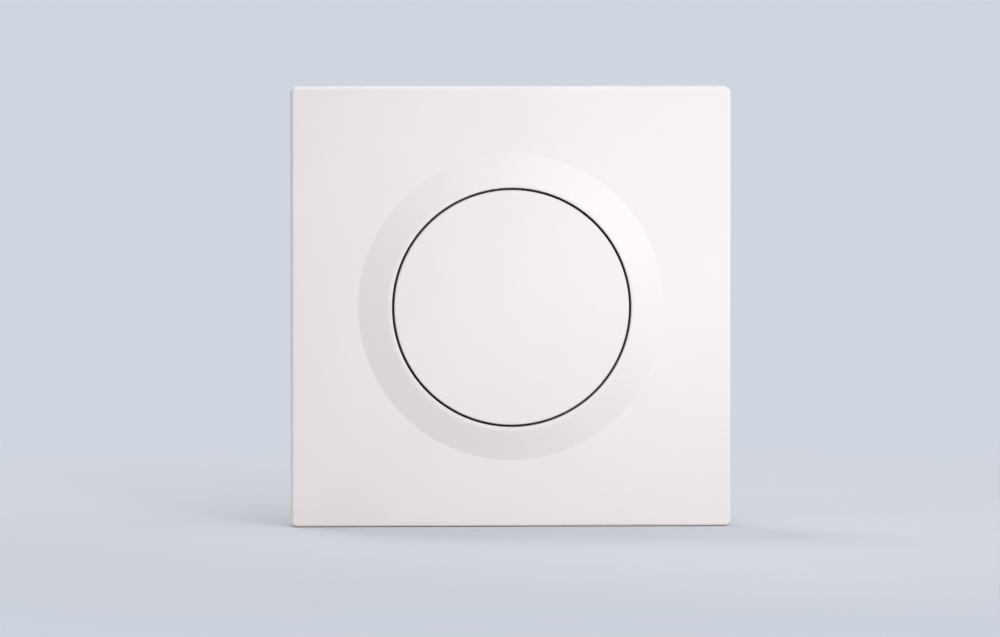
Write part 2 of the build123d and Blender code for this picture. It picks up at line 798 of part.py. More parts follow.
with BuildPart() as film_capacitor:
    with BuildSketch(wall_plane(power_under)):
        with Locations(film_place):
            Rectangle(film_width, film_height)
    extrude(amount=-film_tall)
    chamfer(film_capacitor.faces().sort_by(Axis.Y)[-1].edges(), film_edge)
save(film_capacitor, "film_capacitor")

# Varistor: a disc on edge with its two leads
disc_middle = power_under - varistor_lift - varistor_diameter / 2
with BuildPart() as varistor:
    with BuildSketch(cross_plane(varistor_place[0])):
        with Locations((varistor_place[1], disc_middle)):
            Circle(varistor_diameter / 2)
    extrude(amount=varistor_thick / 2, both=True)
    chamfer(varistor.edges(), varistor_thick / 4)
    with BuildSketch(wall_plane(power_under)):
        with Locations(varistor_place):
            with GridLocations(0, varistor_diameter / 2, 1, 2):
                Circle(lead_diameter / 2)
    extrude(amount=disc_middle - power_under)
save(varistor, "varistor")

with BuildPart() as bridge_rectifier:
    with BuildSketch(wall_plane(power_under)):
        with Locations(bridge_place):
            Rectangle(bridge_width, bridge_height)
            with Locations((-bridge_width / 2, 0)):
                Circle(bridge_notch, mode=Mode.SUBTRACT)
    extrude(amount=-bridge_tall)
    chamfer(bridge_rectifier.edges().filter_by(Axis.Y).sort_by(Axis.X)[-2:], bridge_notch / 2)
save(bridge_rectifier, "bridge_rectifier")

with BuildPart() as choke:
    with BuildSketch(wall_plane(power_under)):
        with Locations(choke_place):
            Circle(choke_diameter / 2)
    extrude(amount=-choke_tall)
    with BuildSketch(wall_plane(power_under - choke_flange)):
        with Locations(choke_place):
            Circle(choke_diameter / 2)
            Circle(choke_diameter / 2 - choke_waist, mode=Mode.SUBTRACT)
    extrude(amount=-(choke_tall - 2 * choke_flange), mode=Mode.SUBTRACT)
save(choke, "choke")

with BuildPart() as fuse:
    with BuildSketch(wall_plane(power_under)):
        with Locations(fuse_place):
            Circle(fuse_diameter / 2)
    extrude(amount=-fuse_tall)
    chamfer(fuse.faces().sort_by(Axis.Y)[-1].edges(), film_edge)
save(fuse, "fuse")

# Terminal block: one chamber, screw well and wire port per pole
with BuildPart() as terminal_block:
    with BuildSketch(wall_plane(power_under)):
        with Locations((0, block_low)):
            Rectangle(block_width, block_height, align=(Align.CENTER, Align.MIN))
    extrude(amount=block_rear - power_under)
    with BuildSketch(wall_plane(power_under)):
        for across in pole_spots:
            with Locations((across, chamber_low)):
                Rectangle(chamber_width, chamber_high - chamber_low, align=(Align.CENTER, Align.MIN))
    extrude(amount=shelf_front - power_under, mode=Mode.SUBTRACT)
    with BuildSketch(wall_plane(block_rear)):
        for across in pole_spots:
            with Locations((across, clamp_axis)):
                Circle(clamp_well / 2)
    extrude(amount=clamp_well_depth, mode=Mode.SUBTRACT)
    with BuildSketch(wall_plane(shelf_rear)):
        for across in pole_spots:
            with Locations((across, clamp_axis)):
                Circle(clamp_hole / 2)
    extrude(amount=clamp_shelf, mode=Mode.SUBTRACT)
    with BuildSketch(Plane.XY.offset(block_low)):
        for across in pole_spots:
            with Locations((across, -port_middle)):
                Rectangle(port_width, port_height)
    extrude(amount=block_front, mode=Mode.SUBTRACT)
    for wire in terminal_block.faces().sort_by(Axis.Z)[0].inner_wires():
        chamfer(wire.edges(), port_flare)
save(terminal_block, "terminal_block")

# Each pole: a bent contact bar, a rising cage and the screw that lifts it
for number, across in enumerate(pole_spots, start=1):
    with BuildPart() as contact_bar:
        with BuildSketch(cross_plane(across)):
            with BuildLine():
                Polyline(
                    (bar_low, bar_rear),
                    (bar_high, bar_rear),
                    (bar_high, power_top + tail_proud),
                    (bar_high - bar_thick, power_top + tail_proud),
                    (bar_high - bar_thick, bar_front),
                    (bar_low, bar_front),
                    close=True,
                )
            make_face()
        extrude(amount=bar_width / 2, both=True)
    save(contact_bar, "contact_bar_" + str(number))

    with BuildPart() as clamp_cage:
        with BuildSketch(Plane.XY.offset(cage_low)):
            with Locations((across, -(cage_rear + cage_front) / 2)):
                Rectangle(cage_width, cage_tall)
                Rectangle(cage_width - 2 * cage_wall, cage_tall - 2 * cage_wall, mode=Mode.SUBTRACT)
        extrude(amount=cage_length)
        with BuildSketch(wall_plane(cage_rear)):
            with Locations((across, clamp_axis)):
                Circle(clamp_hole / 2)
        extrude(amount=cage_wall, mode=Mode.SUBTRACT)
    save(clamp_cage, "clamp_cage_" + str(number))

    with BuildPart() as terminal_screw:
        with BuildSketch(wall_plane(shelf_rear)):
            with Locations((across, clamp_axis)):
                Circle(clamp_head / 2)
        extrude(amount=-clamp_head_height)
        with BuildSketch(wall_plane(shelf_rear)):
            with Locations((across, clamp_axis)):
                Circle(clamp_screw / 2)
        extrude(amount=bar_rear - clamp_play - shelf_rear)
        with BuildSketch(wall_plane(shelf_rear - clamp_head_height)):
            with Locations((across, clamp_axis)):
                Rectangle(clamp_head, clamp_head * slot_share)
        extrude(amount=clamp_head_height * drive_share, mode=Mode.SUBTRACT)
    save(terminal_screw, "terminal_screw_" + str(number))
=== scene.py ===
import math

import bpy
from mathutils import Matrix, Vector


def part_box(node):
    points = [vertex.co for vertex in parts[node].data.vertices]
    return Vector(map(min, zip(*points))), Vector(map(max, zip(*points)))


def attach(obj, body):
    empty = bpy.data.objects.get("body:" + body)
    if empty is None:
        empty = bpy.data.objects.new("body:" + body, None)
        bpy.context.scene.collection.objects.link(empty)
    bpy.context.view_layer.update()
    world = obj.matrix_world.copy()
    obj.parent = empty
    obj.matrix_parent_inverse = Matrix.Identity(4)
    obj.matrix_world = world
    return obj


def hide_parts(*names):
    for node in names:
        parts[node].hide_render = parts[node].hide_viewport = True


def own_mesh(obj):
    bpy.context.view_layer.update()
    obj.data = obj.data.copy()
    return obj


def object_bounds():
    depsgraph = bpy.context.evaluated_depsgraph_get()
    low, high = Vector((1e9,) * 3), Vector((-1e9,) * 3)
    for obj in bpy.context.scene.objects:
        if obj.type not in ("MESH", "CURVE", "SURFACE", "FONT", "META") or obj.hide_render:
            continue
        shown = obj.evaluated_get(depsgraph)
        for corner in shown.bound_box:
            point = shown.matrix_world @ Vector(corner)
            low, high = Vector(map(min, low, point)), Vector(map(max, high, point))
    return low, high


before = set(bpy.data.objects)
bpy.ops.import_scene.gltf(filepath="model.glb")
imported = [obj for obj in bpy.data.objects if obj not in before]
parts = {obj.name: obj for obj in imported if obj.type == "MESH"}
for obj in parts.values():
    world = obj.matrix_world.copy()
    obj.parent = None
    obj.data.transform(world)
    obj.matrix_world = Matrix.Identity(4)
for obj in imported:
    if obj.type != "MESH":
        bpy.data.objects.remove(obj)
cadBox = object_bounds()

scene = bpy.context.scene
poles = (1, 2, 3)   # one terminal each
mm = 0.001
print("frame loaded:", len(parts), "nodes")


def ofEachPole(name):
    return ["%s_%d" % (name, pole) for pole in poles]


class Nodes:
    # a node tree that is built up by small calls
    def __init__(self, tree):
        self.tree = tree

    def node(self, kind, settings=None, **sockets):
        # an underscore in a socket's name stands for a space
        made = self.tree.nodes.new(kind)
        for key, value in (settings or {}).items():
            setattr(made, key, value)
        for label, value in sockets.items():
            self.feed(made.inputs[label.replace("_", " ")], value)
        return made

    def feed(self, socket, value):
        # a socket takes a link or a plain value
        if isinstance(value, bpy.types.NodeSocket):
            self.tree.links.new(value, socket)
        else:
            socket.default_value = value

    def math(self, operation, first, second=0.0):
        step = self.node("ShaderNodeMath", {"operation": operation})
        self.feed(step.inputs[0], first)
        self.feed(step.inputs[1], second)
        return step.outputs[0]

    def times(self, first, second):
        return self.math("MULTIPLY", first, second)

    def spread(self, value, low, high, outLow=0.0, outHigh=1.0, smooth=False):
        kind = "SMOOTHSTEP" if smooth else "LINEAR"
        step = self.node("ShaderNodeMapRange", {"interpolation_type": kind}, Value=value,
                         From_Min=low, From_Max=high, To_Min=outLow, To_Max=outHigh)
        return step.outputs["Result"]

    def over(self, share, under, top):
        step = self.node("ShaderNodeMixRGB", Fac=share)
        for label, value in (("Color1", under), ("Color2", top)):
            self.feed(step.inputs[label], (*value, 1) if isinstance(value, tuple) else value)
        return step.outputs["Color"]

    def shown(self):
        # 1 where a thing is seen or mirrored, 0 where its light falls on others
        rays = self.node("ShaderNodeLightPath").outputs
        seen = self.math("MAXIMUM", rays["Is Camera Ray"], rays["Is Glossy Ray"])
        return self.math("MAXIMUM", seen, rays["Is Transmission Ray"])


noiseEdge = 0.3   # noise lies mostly between this and 1 less this


class Finish(Nodes):
    # one node material in object coordinates
    def __init__(self, name, roughness=0.5, metallic=0.0):
        self.material = bpy.data.materials.new(name)
        self.material.use_nodes = True
        super().__init__(self.material.node_tree)
        self.tree.nodes.clear()
        self.shader = self.node("ShaderNodeBsdfPrincipled", Roughness=roughness, Metallic=metallic)
        self.ending = self.node("ShaderNodeOutputMaterial", Surface=self.shader.outputs["BSDF"])
        self.place = self.node("ShaderNodeTexCoord").outputs["Object"]
        self.relief = None

    def mapped(self, scale=(1, 1, 1), shift=(0, 0, 0), turn=(0, 0, 0)):
        step = self.node("ShaderNodeMapping", Vector=self.place, Scale=scale, Location=shift, Rotation=turn)
        return step.outputs["Vector"]

    def noise(self, scale, detail=2.0, rough=0.5, stretch=(1, 1, 1)):
        step = self.node("ShaderNodeTexNoise", Vector=self.mapped(stretch), Scale=scale, Detail=detail,
                         Roughness=rough)
        return step.outputs["Fac"]

    def cells(self, scale, random, metric="EUCLIDEAN", plane=None):
        # distance to the nearest of many spots, in space or in the plane given
        settings = {"voronoi_dimensions": "2D" if plane else "3D", "distance": metric}
        step = self.node("ShaderNodeTexVoronoi", settings, Vector=plane or self.place, Scale=scale,
                         Randomness=random)
        return step.outputs["Distance"]

    def axis(self, letter):
        return self.node("ShaderNodeSeparateXYZ", Vector=self.place).outputs[letter]

    def blend(self, first, second, share):
        return self.math("ADD", self.times(first, share), self.times(second, 1 - share))

    def tones(self, value, low, high, edge=noiseEdge):
        ramp = self.node("ShaderNodeValToRGB", Fac=value)
        for point, position, colour in zip(ramp.color_ramp.elements, (edge, 1 - edge), (low, high)):
            point.position = position
            point.color = (*colour, 1)
        return ramp.outputs["Color"]

    def colour(self, value):
        self.feed(self.shader.inputs["Base Color"], value)

    def roughness(self, value, low, high):
        self.feed(self.shader.inputs["Roughness"], self.spread(value, noiseEdge, 1 - noiseEdge, low, high))

    def softEdges(self, radius):
        self.relief = self.node("ShaderNodeBevel", {"samples": 6}, Radius=radius).outputs["Normal"]
        self.feed(self.shader.inputs["Normal"], self.relief)

    def bump(self, height, depth):
        step = self.node("ShaderNodeBump", Strength=1.0, Distance=depth, Height=height)
        if self.relief:
            self.feed(step.inputs["Normal"], self.relief)
        self.relief = step.outputs["Normal"]
        self.feed(self.shader.inputs["Normal"], self.relief)

    def openness(self, reach, closed, clear):
        # 0 in narrow slots and corners, 1 on open faces
        step = self.node("ShaderNodeAmbientOcclusion", {"samples": 8, "only_local": True}, Distance=reach)
        return self.spread(step.outputs["AO"], closed, clear, smooth=True)

    def dress(self, *names):
        for name in names:
            for slot in parts[name].material_slots:
                slot.material = self.material
        return self


# cover and button share one fine matte white
coverLook = {
    "shade": (0.837, 0.796, 0.812),
    "pale": (0.877, 0.836, 0.852),
    "cloud": 38.0,
    "cloudShare": 0.6,
    "grain": 5200.0,
    "grainDepth": 9e-6,
    "wave": 160.0,
    "waveDepth": 4e-6,
    "patch": 900.0,
    "roughness": (0.44, 0.56),
}
white = Finish("matte_white")
grain = white.noise(coverLook["grain"], rough=0.6)
cloud = white.noise(coverLook["cloud"], detail=3.0)
fleck = white.blend(cloud, grain, coverLook["cloudShare"])
white.colour(white.tones(fleck, coverLook["shade"], coverLook["pale"]))
white.roughness(white.noise(coverLook["patch"], detail=3.0), *coverLook["roughness"])
white.bump(white.noise(coverLook["wave"]), coverLook["waveDepth"])
white.bump(grain, coverLook["grainDepth"])
white.dress("front_cover", "button_cap")

# pale grey of the frame and the housing, with flow marks and ejector pin marks
shellLook = {
    "shade": (0.66, 0.665, 0.66),
    "pale": (0.735, 0.735, 0.725),
    "streak": 42.0,
    "streakShare": 0.75,
    "grain": 3600.0,
    "grainDepth": 1.3e-5,
    "patch": 700.0,
    "roughness": (0.4, 0.54),
    "edge": 0.22 * mm,
    "pinPitch": 27.0 * mm,
    "pinRadius": 2.0 * mm,
    "pinBlur": 0.06,
    "pinDepth": 4e-5,
}


def shellFinish(name, flow, pinShift):
    shell = Finish(name)
    streak = shell.noise(shellLook["streak"], detail=4.0, rough=0.55, stretch=flow)
    fine = shell.noise(shellLook["grain"], rough=0.6)
    shell.colour(shell.tones(shell.blend(streak, fine, shellLook["streakShare"]),
                             shellLook["shade"], shellLook["pale"]))
    shell.roughness(shell.noise(shellLook["patch"], detail=3.0), *shellLook["roughness"])
    shell.softEdges(shellLook["edge"])
    # the pins lie in the wall's plane, so x and z become the pattern's two axes
    wallPlane = shell.mapped(shift=(pinShift, pinShift, 0), turn=(math.pi / 2, 0, 0))
    pins = shell.cells(1 / shellLook["pinPitch"], random=0.0, plane=wallPlane)
    rim = shellLook["pinRadius"] / shellLook["pinPitch"]
    blur = rim * shellLook["pinBlur"]
    shell.bump(shell.spread(pins, rim - blur, rim + blur, smooth=True), shellLook["pinDepth"])
    shell.bump(fine, shellLook["grainDepth"])
    return shell


shellFinish("frame_grey", (1, 1, 0.35), 0).dress("mounting_frame")
shellFinish("housing_grey", (1, 0.3, 1), shellLook["pinPitch"] / 2).dress("rear_housing")

# moulded darks
darkLook = {
    "black_matte": {"low": (0.012, 0.012, 0.013), "high": (0.026, 0.026, 0.028), "grain": 4200.0,
                    "roughness": (0.42, 0.58)},
    "charcoal_nylon": {"low": (0.035, 0.035, 0.038), "high": (0.06, 0.06, 0.065), "grain": 3000.0,
                       "roughness": (0.45, 0.62)},
}
darkDetail = {"cloud": 120.0, "patch": 800.0, "edge": 0.15 * mm, "grainDepth": 1.2e-5}


def darkFinish(name):
    look = darkLook[name]
    dark = Finish(name)
    dark.colour(dark.tones(dark.noise(darkDetail["cloud"], detail=4.0), look["low"], look["high"]))
    dark.roughness(dark.noise(darkDetail["patch"], detail=3.0), *look["roughness"])
    dark.softEdges(darkDetail["edge"])
    dark.bump(dark.noise(look["grain"], rough=0.6), darkDetail["grainDepth"])
    return dark


black = darkFinish("black_matte")
black.dress("button_carrier", "push_switch_body", "header_base", "header_socket", "bridge_rectifier")
darkFinish("charcoal_nylon").dress("terminal_block")

# plated and drawn metals; the fine lines of a drawn one are stretched along it
metalLook = {
    "zinc_steel": {"low": (0.5, 0.51, 0.52), "high": (0.66, 0.65, 0.6), "roughness": (0.24, 0.4),
                   "stretch": (1, 1, 1)},
    "nickel_steel": {"low": (0.52, 0.5, 0.46), "high": (0.64, 0.62, 0.57), "roughness": (0.2, 0.36),
                     "stretch": (1, 8, 1)},
    "spring_wire": {"low": (0.42, 0.42, 0.42), "high": (0.58, 0.57, 0.56), "roughness": (0.22, 0.38),
                    "stretch": (1, 1, 1)},
    "tinned_sheet": {"low": (0.6, 0.6, 0.59), "high": (0.72, 0.72, 0.7), "roughness": (0.22, 0.36),
                     "stretch": (0.15, 1, 1)},
    "stamped_brass": {"low": (0.62, 0.44, 0.17), "high": (0.78, 0.6, 0.28), "roughness": (0.22, 0.4),
                      "stretch": (1, 1, 0.2)},
}
metalDetail = {
    "tarnish": 260.0,
    "toneEdge": 0.32,
    "lines": 6000.0,
    "lineDepth": 4e-6,
    "paintedShade": 0.12,             # how dark the painted shade is, against the metal's low tone
    "paintedShadeReach": 1.5 * mm,    # how wide a slot can be and still get the painted shade
    "paintedShadeEdge": (0.5, 0.95),
}


def metalFinish(name):
    look = metalLook[name]
    metal = Finish(name, metallic=1.0)
    tarnish = metal.noise(metalDetail["tarnish"], detail=4.0, rough=0.6)
    lines = metal.noise(metalDetail["lines"], stretch=look["stretch"])
    # painted shade: slots, thread roots and corners are darkened towards the low tone where little of the
    # surround reaches them
    unshaded = metal.openness(metalDetail["paintedShadeReach"], *metalDetail["paintedShadeEdge"])
    paintedShade = tuple(metalDetail["paintedShade"] * part for part in look["low"])
    plating = metal.tones(tarnish, look["low"], look["high"], metalDetail["toneEdge"])
    metal.colour(metal.over(unshaded, paintedShade, plating))
    metal.roughness(metal.blend(tarnish, lines, 0.5), *look["roughness"])
    metal.bump(lines, metalDetail["lineDepth"])
    return metal


zinc = metalFinish("zinc_steel").dress("housing_screws", "board_screws", *ofEachPole("terminal_screw"))
springWire = metalFinish("spring_wire").dress("return_spring")
metalFinish("nickel_steel").dress(*ofEachPole("clamp_cage"))
metalFinish("tinned_sheet").dress("radio_shield")
metalFinish("stamped_brass").dress("header_pins", *ofEachPole("contact_bar"))

# circuit boards: tracks under the mask, tinned vias
boardLook = {
    "green_mask": {"bare": (0.012, 0.09, 0.035), "track": (0.03, 0.17, 0.06), "scale": 130.0},
    "blue_mask": {"bare": (0.008, 0.02, 0.085), "track": (0.02, 0.05, 0.17), "scale": 260.0},
}
boardDetail = {
    "laneWidth": 0.09,
    "trackEdge": (0.04, 0.055),
    "trackDepth": 2.5e-5,
    "viaScale": 3.2,            # against the lanes' scale
    "viaEdge": (0.16, 0.13),
    "viaDepth": 3e-5,
    "tin": (0.62, 0.6, 0.52),
    "coat": 0.4,
    "patch": 900.0,
    "roughness": (0.22, 0.36),
}


def boardFinish(name):
    look = boardLook[name]
    board = Finish(name)
    board.shader.inputs["Coat Weight"].default_value = boardDetail["coat"]
    lanes = board.cells(look["scale"], random=0.85, metric="CHEBYCHEV")
    track = board.spread(board.math("PINGPONG", lanes, boardDetail["laneWidth"]), *boardDetail["trackEdge"],
                         smooth=True)
    dots = board.cells(look["scale"] * boardDetail["viaScale"], random=0.9)
    via = board.spread(dots, *boardDetail["viaEdge"], smooth=True)
    mask = board.over(track, look["bare"], look["track"])
    board.colour(board.over(via, mask, boardDetail["tin"]))
    board.roughness(board.noise(boardDetail["patch"]), *boardDetail["roughness"])
    board.bump(track, boardDetail["trackDepth"])
    board.bump(via, boardDetail["viaDepth"])
    return board


boardFinish("green_mask").dress("control_board", "power_board")
boardFinish("blue_mask").dress("radio_board")

# dipped and moulded parts on the boards
resinLook = {
    "relay_blue": {"node": "relay", "low": (0.025, 0.075, 0.27), "high": (0.045, 0.115, 0.36),
                   "roughness": (0.2, 0.34)},
    "film_yellow": {"node": "film_capacitor", "low": (0.6, 0.42, 0.03), "high": (0.72, 0.53, 0.07),
                    "roughness": (0.28, 0.42)},
    "varistor_blue": {"node": "varistor", "low": (0.03, 0.15, 0.42), "high": (0.06, 0.23, 0.55),
                      "roughness": (0.24, 0.42)},
    "fuse_brown": {"node": "fuse", "low": (0.2, 0.06, 0.03), "high": (0.29, 0.1, 0.05),
                   "roughness": (0.2, 0.34)},
    "nylon_natural": {"node": "push_switch_plunger", "low": (0.68, 0.67, 0.62), "high": (0.79, 0.78, 0.73),
                      "roughness": (0.38, 0.5)},
}
resinDetail = {"cloud": 180.0, "patch": 700.0, "edge": 0.2 * mm, "dimple": 520.0, "dimpleDepth": 2.5e-5}
for name, look in resinLook.items():
    resin = Finish(name)
    resin.colour(resin.tones(resin.noise(resinDetail["cloud"], detail=4.0), look["low"], look["high"]))
    resin.roughness(resin.noise(resinDetail["patch"]), *look["roughness"])
    resin.softEdges(resinDetail["edge"])
    resin.bump(resin.noise(resinDetail["dimple"]), resinDetail["dimpleDepth"])
    resin.dress(look["node"])

ferriteLook = {
    "low": (0.035, 0.035, 0.038),
    "high": (0.11, 0.11, 0.115),
    "metallic": 0.25,
    "speck": 2600.0,
    "speckDepth": 2.5e-5,
    "roughness": (0.5, 0.72),
    "edge": 0.2 * mm,
}
ferrite = Finish("sintered_ferrite", metallic=ferriteLook["metallic"])
speck = ferrite.noise(ferriteLook["speck"], detail=4.0, rough=0.7)
ferrite.colour(ferrite.tones(speck, ferriteLook["low"], ferriteLook["high"]))
ferrite.roughness(speck, *ferriteLook["roughness"])
ferrite.softEdges(ferriteLook["edge"])
ferrite.bump(speck, ferriteLook["speckDepth"])
ferrite.dress("transformer_core", "choke")

# yellow tape round the winding, in layers
tapeLook = {
    "low": (0.66, 0.47, 0.05),
    "high": (0.8, 0.6, 0.1),
    "seam": (0.5, 0.34, 0.03),
    "width": 0.9 * mm,
    "seamEdge": (0.06 * mm, 0.14 * mm),
    "seamDepth": 3e-5,
    "cloud": 220.0,
    "patch": 900.0,
    "roughness": (0.22, 0.38),
}
tape = Finish("film_tape")
layer = tape.spread(tape.math("PINGPONG", tape.axis("Z"), tapeLook["width"]), *tapeLook["seamEdge"])
film = tape.tones(tape.noise(tapeLook["cloud"], detail=3.0), tapeLook["low"], tapeLook["high"])
tape.colour(tape.over(layer, tapeLook["seam"], film))
tape.roughness(tape.noise(tapeLook["patch"]), *tapeLook["roughness"])
tape.bump(layer, tapeLook["seamDepth"])
tape.dress("transformer_bobbin")

# capacitors: dark sleeve with a pale stripe, bare metal lid
sleeveLook = {
    "low": (0.02, 0.024, 0.04),
    "high": (0.035, 0.04, 0.06),
    "stripe": (0.42, 0.43, 0.45),
    "stripeStart": 3.0 * mm,
    "stripeBlur": 0.15 * mm,
    "lid": (0.7, 0.7, 0.69),
    "lidDepth": 0.7 * mm,
    "lidBlur": 0.14 * mm,
    "cloud": 240.0,
    "patch": 600.0,
    "roughness": (0.22, 0.36),
    "wrinkle": 340.0,
    "wrinkleDepth": 2e-5,
}
for number in (1, 2):
    node = "bulk_capacitor_%d" % number
    low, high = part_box(node)
    sleeve = Finish("capacitor_sleeve_%d" % number)
    lidStart = high.y - sleeveLook["lidDepth"]
    lid = sleeve.spread(sleeve.axis("Y"), lidStart, lidStart + sleeveLook["lidBlur"])
    stripeStart = (low.x + high.x) / 2 + sleeveLook["stripeStart"]
    stripe = sleeve.spread(sleeve.axis("X"), stripeStart, stripeStart + sleeveLook["stripeBlur"])
    skin = sleeve.tones(sleeve.noise(sleeveLook["cloud"], detail=3.0), sleeveLook["low"], sleeveLook["high"])
    skin = sleeve.over(stripe, skin, sleeveLook["stripe"])
    sleeve.colour(sleeve.over(lid, skin, sleeveLook["lid"]))
    sleeve.feed(sleeve.shader.inputs["Metallic"], lid)
    sleeve.roughness(sleeve.noise(sleeveLook["patch"]), *sleeveLook["roughness"])
    sleeve.bump(sleeve.noise(sleeveLook["wrinkle"]), sleeveLook["wrinkleDepth"])
    sleeve.dress(node)
print("finishes dressed")

creaseAngle = math.radians(60.0)        # edges that turn by more stay sharp
towardFront = (math.pi / 2, 0.0, 0.0)   # local z points out of the wall
towardRear = (-math.pi / 2, 0.0, 0.0)


class Shape(Nodes):
    # one geometry tree with named inputs, which ends in instances on the points it is given
    def __init__(self, name, **inputs):
        super().__init__(bpy.data.node_groups.new(name, "GeometryNodeTree"))
        face = self.tree.interface
        face.new_socket("Points", in_out="INPUT", socket_type="NodeSocketGeometry")
        for label, value in inputs.items():
            kind = "NodeSocketBool" if isinstance(value, bool) else "NodeSocketFloat"
            face.new_socket(label, in_out="INPUT", socket_type=kind).default_value = value
        face.new_socket("Finish", in_out="INPUT", socket_type="NodeSocketMaterial")
        face.new_socket("Geometry", in_out="OUTPUT", socket_type="NodeSocketGeometry")
        self.given = self.node("NodeGroupInput").outputs
        self.result = self.node("NodeGroupOutput").inputs["Geometry"]

    def vector(self, x=0.0, y=0.0, z=0.0):
        return self.node("ShaderNodeCombineXYZ", X=x, Y=y, Z=z).outputs[0]

    def raised(self, geometry, height):
        shift = self.vector(z=height)
        return self.node("GeometryNodeTransform", Geometry=geometry, Translation=shift).outputs[0]

    def cylinder(self, radius, height, sides, rows=1, rings=1):
        step = self.node("GeometryNodeMeshCylinder", Radius=radius, Depth=height, Vertices=sides,
                         Side_Segments=rows, Fill_Segments=rings)
        return step.outputs["Mesh"]

    def block(self, x, y, z):
        return self.node("GeometryNodeMeshCube", Size=self.vector(x, y, z)).outputs[0]

    def coil(self, radius, turns, height, wire, rest, sides, steps):
        # wire wound up the z axis; the share rest of its length lies flat at each end
        spiral = self.node("GeometryNodeCurveSpiral", Resolution=steps, Rotations=turns, Start_Radius=radius,
                           End_Radius=radius, Height=0.0).outputs[0]
        along = self.node("GeometryNodeSplineParameter").outputs["Factor"]
        climb = self.spread(along, rest, self.math("SUBTRACT", 1.0, rest), outHigh=height)
        rising = self.node("GeometryNodeSetPosition", Geometry=spiral, Offset=self.vector(z=climb)).outputs[0]
        ring = self.node("GeometryNodeCurvePrimitiveCircle", Resolution=sides, Radius=wire).outputs["Curve"]
        tube = self.node("GeometryNodeCurveToMesh", Curve=rising, Profile_Curve=ring, Fill_Caps=True)
        return tube.outputs[0]

    def close(self, geometry, turn):
        # smooth all over, apart from the creases
        smooth = self.node("GeometryNodeSetShadeSmooth", Geometry=geometry).outputs[0]
        angle = self.node("GeometryNodeInputMeshEdgeAngle").outputs["Unsigned Angle"]
        sharp = self.math("GREATER_THAN", angle, creaseAngle)
        creased = self.node("GeometryNodeSetShadeSmooth", {"domain": "EDGE"}, Geometry=smooth,
                            Selection=sharp, Shade_Smooth=False).outputs[0]
        placed = self.node("GeometryNodeInstanceOnPoints", Points=self.given["Points"], Instance=creased,
                           Rotation=turn).outputs[0]
        real = self.node("GeometryNodeRealizeInstances", Geometry=placed).outputs[0]
        dressed = self.node("GeometryNodeSetMaterial", Geometry=real, Material=self.given["Finish"])
        self.feed(self.result, dressed.outputs[0])


def makePiece(name, shape, spots, finish, settings):
    # the tree runs on one vertex for each spot and leaves a plain mesh
    mesh = bpy.data.meshes.new(name)
    mesh.from_pydata(spots, [], [])
    piece = bpy.data.objects.new(name, mesh)
    scene.collection.objects.link(piece)
    modifier = piece.modifiers.new("shape", "NODES")
    modifier.node_group = shape.tree
    inputs = [item for item in shape.tree.interface.items_tree if item.in_out == "INPUT"]
    sockets = {item.name: item.identifier for item in inputs}
    modifier[sockets["Finish"]] = finish.material
    for label, value in settings.items():
        modifier[sockets[label]] = value
    bpy.context.view_layer.update()
    graph = bpy.context.evaluated_depsgraph_get()
    made = bpy.data.meshes.new_from_object(piece.evaluated_get(graph), depsgraph=graph)
    piece.modifiers.clear()
    piece.data = made
    print(name, len(made.polygons), "faces")
    return piece


# return spring, which the button squeezes in the real switch: closed end coils, built here as one fixed shape
springSizes = {
    "Coil radius": 5.95 * mm,
    "Wire radius": 0.35 * mm,
    "Turns": 3.5,
    "Height": 5.5 * mm,
    "Flat ends": 0.2,
}
springSmoothness = {"sides": 12, "steps": 64}
springShape = Shape("compression_spring", **springSizes)
springGiven = springShape.given
wound = springShape.coil(springGiven["Coil radius"], springGiven["Turns"], springGiven["Height"],
                         springGiven["Wire radius"], springGiven["Flat ends"], **springSmoothness)
springShape.close(wound, towardFront)
springTop, springFoot = (corner.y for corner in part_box("return_spring"))
springSpot = (0.0, springFoot - springSizes["Wire radius"], 0.0)
spring = makePiece("coil_spring", springShape, [springSpot], springWire, springSizes)
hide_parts("return_spring")
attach(spring, "base")
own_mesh(spring)

# screws: domed head with its drive, threaded shank
screwSizes = {
    "Head radius": 2.4 * mm,
    "Head height": 1.8 * mm,
    "Shank radius": 1.3 * mm,
    "Length": 20.0 * mm,
    "Pitch": 1.1 * mm,
    "Drive length": 3.6 * mm,
    "Drive width": 0.8 * mm,
    "Drive depth": 0.9 * mm,
    "Cross": True,
}
screwForm = {
    "headSides": 56,
    "headRows": 8,
    "headRings": 5,
    "rimPull": 0.16,        # how far the head's upper edge comes in
    "rimPower": 4.0,
    "crown": 0.12,          # how far the head falls off towards its edge
    "core": 0.8,            # of the shank's radius, as the ridge is
    "ridge": 0.2,
    "coreSides": 32,
    "threaded": 0.92,       # of the shank's length
    "threadSides": 4,
    "threadSteps": 28,
    "driveWidth": 0.38,     # of the head's radius, as both lengths are
    "crossLength": 1.5,
    "slotLength": 2.2,
    "driveDepth": 0.5,      # of the head's height
}


def screwHead(shape):
    radius, height = shape.given["Head radius"], shape.given["Head height"]
    head = shape.cylinder(radius, height, screwForm["headSides"], screwForm["headRows"],
                          screwForm["headRings"])
    head = shape.raised(head, shape.times(height, 0.5))
    # dome the top and pull its edge in
    position = shape.node("GeometryNodeInputPosition").outputs[0]
    x, y, z = shape.node("ShaderNodeSeparateXYZ", Vector=position).outputs
    rise = shape.math("POWER", shape.math("DIVIDE", z, height), screwForm["rimPower"])
    pull = shape.math("SUBTRACT", 1.0, shape.times(rise, screwForm["rimPull"]))
    outward = shape.math("ADD", shape.times(x, x), shape.times(y, y))
    outward = shape.math("DIVIDE", outward, shape.times(radius, radius))
    dome = shape.math("SUBTRACT", 1.0, shape.times(outward, screwForm["crown"]))
    shaped = shape.vector(shape.times(x, pull), shape.times(y, pull), shape.times(z, dome))
    return shape.node("GeometryNodeSetPosition", Geometry=head, Position=shaped).outputs[0]


